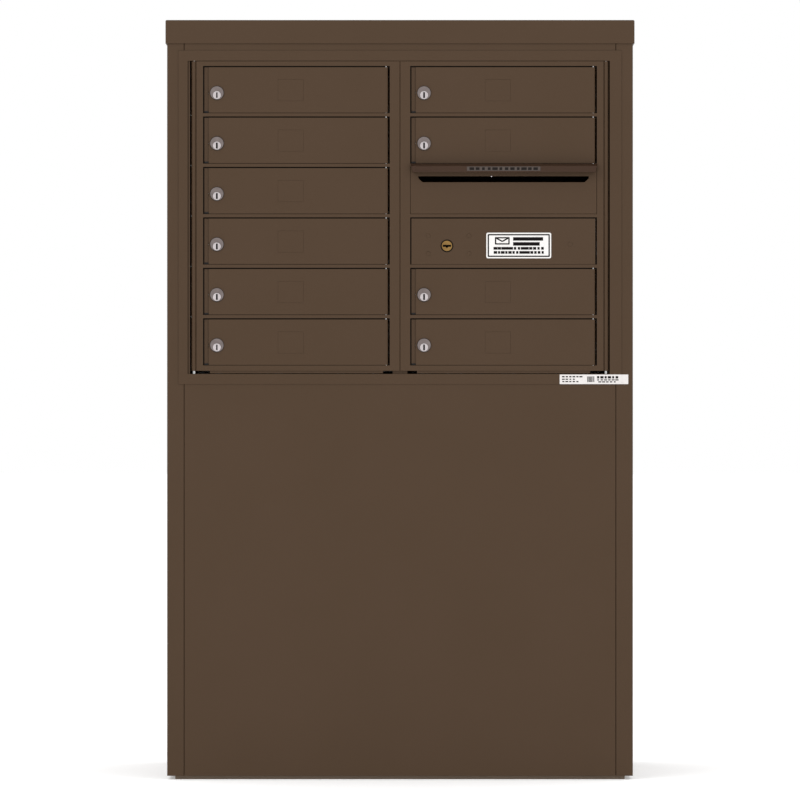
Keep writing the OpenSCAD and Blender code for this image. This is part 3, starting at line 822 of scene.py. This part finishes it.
def makeTenantDoor(door):
    number = door[-2:]
    low, high = boxMm(door + "_panel")
    near = low.y + tenant["lit"]
    bm = copyOfNode(door + "_panel")
    roundEdges(bm, tenant["edge"], 3, lambda p: p.x < high.x - 8)
    splitAt(bm, (0, near, 0), (0, 1, 0))
    # door edge faces deeper than the lit depth painted near-black as painted shade in the gaps
    paintFaces(bm, 1, lambda p, n: near < p.y < low.y + 2.95 and abs(n.y) < 0.5 and n.z > -0.5
               and p.x < high.x - 7.2)
    finishPiece("tenantDoor" + number, bm, [bronzePowder, gapShadeAndRuleDark], door, [door + "_panel"])

    bm = bmesh.new()
    card = roundedLoop(low.x + tenant["cardX"], low.z + tenant["cardZ"],
                       tenant["cardWide"] / 2, tenant["cardHigh"] / 2, 1.2)
    addShape(bm, card, None, low.y + 0.1, low.y + 0.5)
    finishPiece("numberCard" + number, bm, [bronzePowder], door, (), outward=True)
    # a matt black block behind the foot of the door's edge: painted shade of the gap there
    bm = bmesh.new()
    addBox(bm, (low.x + 0.3, low.y + 2.2, low.z + 0.1),
           (low.x + tenant["shadeBlockWide"], low.y + 3.1, low.z + tenant["shadeBlockHigh"]))
    roundEdges(bm, 0.25, 2)
    finishPiece("gapShadeBlock" + number, bm, [shadeBlack], door, ())

    caseLow, caseHigh = boxMm(door + "_lock_case")
    centre = (caseLow + caseHigh) / 2
    bm = copyOfNode(door + "_lock_case")
    roundEdges(bm, tenant["caseEdge"], 2)
    # the bevelled rim of the lock face painted matt black: painted shadow line round the lock
    paintFaces(bm, 1, lambda p, n: (p - centre).xz.length > tenant["rimFrom"] and p.y < low.y)
    paintFaces(bm, 2, lambda p, n: (p - centre).xz.length > tenant["nutFrom"] and p.y > low.y + 2.9)
    finishPiece("lockCase" + number, bm, [castZinc, shadeBlack, platedSteel], door,
                [door + "_lock_case"])
    growPiece("lockThread" + number, threadTree,
              {"Turns": tenant["threadTurns"], "Pitch": mm(tenant["threadPitch"]),
               "Radius": mm(tenant["threadRadius"]), "Ridge": mm(tenant["threadRidge"]),
               "Start": place(centre.x, low.y + tenant["threadStart"], centre.z),
               "Material": platedSteel}, door, smooth=60)

    plugLow = boxMm(door + "_lock_plug")[0]
    axis = Vector((centre.x, 0, centre.z - tenant["plugDrop"]))
    bm = copyOfNode(door + "_lock_plug")
    roundEdges(bm, tenant["plugEdge"], 2, lambda p: (p - axis).xz.length > tenant["plugRim"])
    roundEdges(bm, tenant["mouth"], 1, lambda p: p.y < plugLow.y + 0.1 and (p - axis).xz.length < 5)
    paintFaces(bm, 1, lambda p, n: p.y > plugLow.y + tenant["camFrom"])
    # keyway and its mouth painted nearly black as painted shade
    paintFaces(bm, 2, lambda p, n: plugLow.y + 0.1 < p.y < plugLow.y + tenant["keywayDeep"]
               and abs(p.x - axis.x) < 1.6 and abs(p.z - axis.z) < 5.3)
    finishPiece("lockPlug" + number, bm, [nickelFace, platedSteel, keywayShade], door + "_plug",
                [door + "_lock_plug"])


for door in doors:
    makeTenantDoor(door)
print("tenant doors made:", len(doors))


# sticker with plain bars, laid over the edge of the trim

sticker = {
    "left": 281.4,
    "right": 402.3,
    "high": 16.9,
    "film": 0.2,
    # left end, count, spacing, length and height of the bars, and the row's level
    "rows": ((285, 6, 6.2, 5.6, 2.3, 13.0), (285, 4, 6.2, 5.6, 2.0, 8.6), (285, 5, 6.2, 5.6, 2.0, 4.4),
             (346, 6, 6.6, 6.4, 4.2, 12.0), (346, 6, 6.6, 6.2, 2.0, 7.4), (349, 5, 6.6, 6.2, 2.0, 3.9),
             (330, 8, 1.6, 1.4, 10.0, 8.6)),
}


def makeSticker():
    trimLow, trimHigh = boxMm("surround_trim")
    side = boxMm("right_side_panel")[0]
    bottom = trimLow.z + 0.3
    top = bottom + sticker["high"]
    path = [(sticker["left"], trimLow.y), (trimHigh.x - 0.2, trimLow.y), (trimHigh.x + 1.4, side.y),
            (sticker["right"], side.y)]
    bm = bmesh.new()
    rings = [[bm.verts.new(place(x, y - lift, z)) for lift, z in ((0, bottom), (sticker["film"], bottom),
                                                                   (sticker["film"], top), (0, top))]
             for x, y in path]
    for a, b in zip(rings, rings[1:]):
        for i in range(4):
            bm.faces.new([a[i], a[(i + 1) % 4], b[(i + 1) % 4], b[i]])
    bm.faces.new(rings[0])
    bm.faces.new(rings[-1])
    finishPiece("stickerStrip", bm, [stickerPaper], "root", (), outward=True)
    near = trimLow.y - sticker["film"]
    for i, (x, count, spacing, length, height, level) in enumerate(sticker["rows"]):
        growPiece("stickerRules" + str(i), ruleTree,
                  {"Count": count, "Spacing": mm(spacing), "BarLength": mm(length), "BarHeight": mm(height),
                   "Film": mm(0.1), "Seed": 20 + i, "Start": place(x + length / 2, near, bottom + level),
                   "Material": inkBlack}, "root")


makeSticker()
print("sticker made")


# studio

studio = {
    "frameWidth": 1409.6,     # millimetres across the view at the door plane
    "viewHeight": 668.9,
    "lens": 250,
    "sensor": 36,
    "ambient": 1.0,
    "floorGlow": 0.25,
}


def makeStudio():
    scene = bpy.context.scene
    scene.view_settings.view_transform = "Standard"
    floorMaterial, tree, shader, where = startMaterial("paleStudioFloor", **{
        "Specular IOR Level": 0.1, "Emission Color": (1, 1, 1, 1), "Emission Strength": studio["floorGlow"]})
    speckle = noiseMm(tree, where, 40, 2)
    tree.links.new(blendColours(tree, speckle.outputs[0], "#fbfbfb", "#ffffff"), shader.inputs["Base Color"])
    tree.links.new(spread(tree, speckle.outputs[0], 0.85, 0.95), shader.inputs["Roughness"])
    mesh = bpy.data.meshes.new("studioFloor")
    reach = 40
    mesh.from_pydata([(-reach, -reach, 0), (reach, -reach, 0), (reach, reach, 0), (-reach, reach, 0)],
                     [], [(0, 1, 2, 3)])
    mesh.materials.append(floorMaterial)
    floor = bpy.data.objects.new("studioFloor", mesh)
    scene.collection.objects.link(floor)

    world = bpy.data.worlds.new("studioAir")
    scene.world = world
    world.use_nodes = True
    tree = world.node_tree
    tree.nodes.clear()
    seen = addNode(tree, "ShaderNodeLightPath").outputs["Is Camera Ray"]
    soft = addNode(tree, "ShaderNodeBackground", {"Color": (1, 1, 1, 1), "Strength": studio["ambient"]})
    white = addNode(tree, "ShaderNodeBackground", {"Color": (1, 1, 1, 1), "Strength": 1.0})
    chosen = addNode(tree, "ShaderNodeMixShader", links={0: seen, 1: soft.outputs[0], 2: white.outputs[0]})
    addNode(tree, "ShaderNodeOutputWorld", links={"Surface": chosen.outputs[0]})

    for name, spot, size, power in (("keyPanel", (-2.6, -4.2, 3.4), 2.6, 40),
                                    ("fillPanel", (3.0, -4.2, 2.2), 3.0, 20)):
        light = bpy.data.lights.new(name, "AREA")
        light.shape = "SQUARE"
        light.size = size
        light.energy = power
        lamp = bpy.data.objects.new(name, light)
        lamp.location = spot
        lamp.rotation_euler = (Vector((0, 0, 0.7)) - Vector(spot)).to_track_quat("-Z", "Y").to_euler()
        lamp.visible_camera = False
        scene.collection.objects.link(lamp)

    camera = bpy.data.cameras.new("studioCamera")
    camera.lens = studio["lens"]
    camera.sensor_width = studio["sensor"]
    doorPlane = boxMm("left_master_frame")[0].y
    away = studio["frameWidth"] * studio["lens"] / studio["sensor"]
    camera.clip_end = 200
    eye = bpy.data.objects.new("studioCamera", camera)
    eye.location = place(0, doorPlane - away, studio["viewHeight"])
    eye.rotation_euler = (math.radians(90), 0, 0)
    scene.collection.objects.link(eye)
    scene.camera = eye


makeStudio()
print("studio made")
